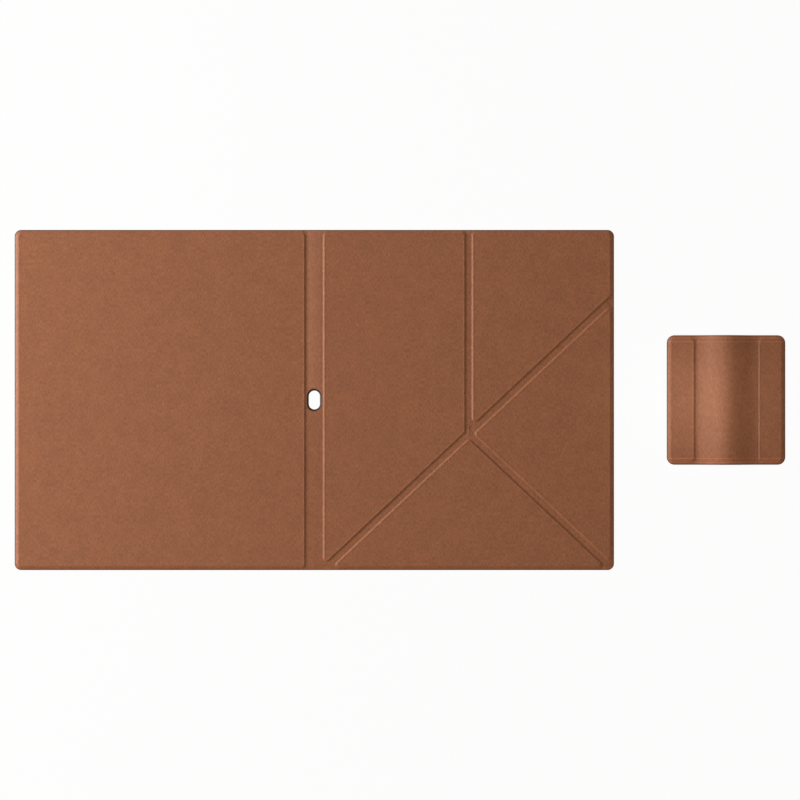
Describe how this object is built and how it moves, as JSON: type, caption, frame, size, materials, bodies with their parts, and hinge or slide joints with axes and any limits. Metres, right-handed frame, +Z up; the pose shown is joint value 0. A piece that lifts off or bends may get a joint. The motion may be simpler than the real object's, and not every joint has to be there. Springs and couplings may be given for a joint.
{
  "type": "folding e-reader case",
  "caption": "Folding magnetic case for a large e-reader, open and flat: back panel, slotted spine, creased front cover that folds into a stand, and a separate arched closing flap.",
  "frame": {"origin": "centre of the opened case and flap together, on the surface that the lining lies on", "axes": "+X across the spread from the back panel to the flap, +Y along the spine towards the top edge, +Z up out of the outer skin"},
  "size_m": [0.656, 0.2894, 0.0087],
  "materials": {
    "skin": "fine-grained synthetic leather in mid brown",
    "lining": "dark napped microfibre",
    "board": "pressed fibre board, sealed in",
    "magnet": "plated"
  },
  "bodies": {
    "back_panel": {"back_skin": "skin", "back_board": "board", "back_lining": "lining", "reader_magnets": "magnet", "rear_dock_magnets": "magnet", "spine_rear_fold_skin": "skin", "spine_rear_fold_lining": "lining"},
    "spine": {"spine_skin": "skin", "spine_strip": "board", "spine_lining": "lining", "spine_front_fold_skin": "skin", "spine_front_fold_lining": "lining"},
    "spine_leaf": {"spine_leaf_skin": "skin", "spine_leaf_board": "board", "spine_leaf_lining": "lining", "spine_leaf_magnets": "magnet", "top_crease_skin": "skin", "top_crease_lining": "lining", "foot_crease_skin": "skin", "foot_crease_lining": "lining"},
    "top_leaf": {"top_leaf_skin": "skin", "top_leaf_board": "board", "top_leaf_lining": "lining", "top_leaf_magnets": "magnet", "fore_crease_skin": "skin", "fore_crease_lining": "lining"},
    "fore_leaf": {"fore_leaf_skin": "skin", "fore_leaf_board": "board", "fore_leaf_lining": "lining", "fore_dock_magnets": "magnet", "wake_magnet": "magnet", "corner_crease_fore_skin": "skin", "corner_crease_fore_lining": "lining"},
    "foot_leaf": {"foot_leaf_skin": "skin", "foot_leaf_board": "board", "foot_leaf_lining": "lining", "corner_crease_foot_skin": "skin", "corner_crease_foot_lining": "lining"},
    "flap_rear_tab": {"flap_rear_tab_skin": "skin", "flap_rear_tab_board": "board", "flap_rear_tab_lining": "lining", "flap_rear_tab_magnets": "magnet", "flap_rear_bend_skin": "skin", "flap_rear_bend_lining": "lining"},
    "flap_rear_bridge": {"flap_rear_bridge_skin": "skin", "flap_rear_bridge_lining": "lining", "flap_crest_skin": "skin", "flap_crest_lining": "lining"},
    "flap_front_bridge": {"flap_front_bridge_skin": "skin", "flap_front_bridge_lining": "lining"},
    "flap_front_tab": {"flap_front_tab_skin": "skin", "flap_front_tab_board": "board", "flap_front_tab_lining": "lining", "flap_front_tab_magnets": "magnet", "flap_front_bend_skin": "skin", "flap_front_bend_lining": "lining"}
  },
  "joints": [
    {"name": "spine_rear_fold", "type": "hinge", "parent": "back_panel", "child": "spine", "pos_m": [-0.0788, 0, 0.0006], "axis": [0, -1, 0], "range_deg": [-90, 90], "deforming": ["spine_rear_fold_skin", "spine_rear_fold_lining"]},
    {"name": "spine_front_fold", "type": "hinge", "parent": "spine", "child": "spine_leaf", "pos_m": [-0.067, 0, 0.0006], "axis": [0, -1, 0], "range_deg": [-91.1, 91.5], "deforming": ["spine_front_fold_skin", "spine_front_fold_lining"]},
    {"name": "top_crease_fold", "type": "hinge", "parent": "spine_leaf", "child": "top_leaf", "pos_m": [0.05855, -0.02875, 0], "axis": [0, 1, 0], "range_deg": [0, 178], "deforming": ["top_crease_skin", "top_crease_lining"]},
    {"name": "foot_crease_fold", "type": "hinge", "parent": "spine_leaf", "child": "foot_leaf", "pos_m": [0.05855, -0.02875, 0], "axis": [0.7292, 0.6843, 0], "range_deg": [0, 92.5], "deforming": ["foot_crease_skin", "foot_crease_lining"]},
    {"name": "fore_crease_fold", "type": "hinge", "parent": "top_leaf", "child": "fore_leaf", "pos_m": [0.05855, -0.02875, 0], "axis": [0.7292, 0.6843, 0], "range_deg": [-92.5, 0], "deforming": ["fore_crease_skin", "fore_crease_lining"]},
    {"name": "flap_slide", "type": "slide", "parent": "back_panel", "child": "flap_rear_tab", "axis": [-0.8, 0, 0.6], "range_m": [0, 0.05]},
    {"name": "flap_rear_fold", "type": "hinge", "parent": "flap_rear_tab", "child": "flap_rear_bridge", "pos_m": [0.25434, 0, 0.00088], "axis": [0, 1, 0], "range_deg": [-20, 32.4], "stiffness_Nm_per_rad": 0.1, "deforming": ["flap_rear_bend_skin", "flap_rear_bend_lining"]},
    {"name": "flap_crest_fold", "type": "hinge", "parent": "flap_rear_bridge", "child": "flap_front_bridge", "pos_m": [0.27805, 0, 0.00807], "axis": [0, 1, 0], "range_deg": [-40, 115.2], "stiffness_Nm_per_rad": 0.05, "deforming": ["flap_crest_skin", "flap_crest_lining"]},
    {"name": "flap_front_fold", "type": "hinge", "parent": "flap_front_bridge", "child": "flap_front_tab", "pos_m": [0.30176, 0, 0.00088], "axis": [0, 1, 0], "range_deg": [-20, 32.4], "stiffness_Nm_per_rad": 0.1, "deforming": ["flap_front_bend_skin", "flap_front_bend_lining"]}
  ],
  "couplings": [
    {"joint": "foot_crease_fold", "follows": "top_crease_fold", "ratio": 0.5192},
    {"joint": "fore_crease_fold", "follows": "top_crease_fold", "ratio": -0.5192}
  ]
}
